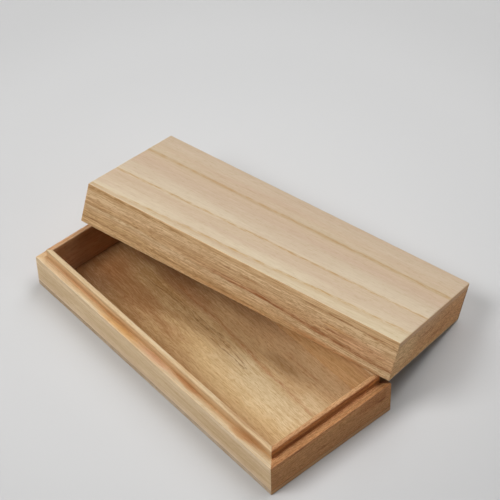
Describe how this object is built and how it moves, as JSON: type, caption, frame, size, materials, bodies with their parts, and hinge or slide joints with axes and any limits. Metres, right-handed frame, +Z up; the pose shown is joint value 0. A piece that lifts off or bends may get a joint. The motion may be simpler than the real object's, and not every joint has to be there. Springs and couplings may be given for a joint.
{
  "type": "ink stick and stone box",
  "caption": "Plain pale wooden presentation box: open tray with a raised locating lip and a loose shallow lid lying askew across it.",
  "frame": {"origin": "centre of the tray's underside, on the bench", "axes": "+X along the tray's length to its right end, +Y from the tray's front to its back, +Z up"},
  "size_m": [0.2595, 0.1984, 0.0761],
  "materials": {
    "tray_long_board": "bare, sanded, unvarnished",
    "tray_end_board": "bare, sanded, unvarnished",
    "tray_bottom_board": "bare, sanded, unvarnished",
    "lid_long_board": "bare, sanded, unvarnished",
    "lid_end_board": "bare, sanded, unvarnished",
    "lid_top_board": "bare, sanded, unvarnished"
  },
  "bodies": {
    "tray": {"tray_front_wall": "tray_long_board", "tray_back_wall": "tray_long_board", "tray_left_wall": "tray_end_board", "tray_right_wall": "tray_end_board", "tray_bottom": "tray_bottom_board"},
    "lid": {"lid_front_wall": "lid_long_board", "lid_back_wall": "lid_long_board", "lid_left_wall": "lid_end_board", "lid_right_wall": "lid_end_board", "lid_top": "lid_top_board"}
  },
  "joints": [
    {"name": "lid_lift", "type": "slide", "parent": "tray", "child": "lid", "axis": [0, 0, 1], "range_m": [0, 0.08]}
  ]
}
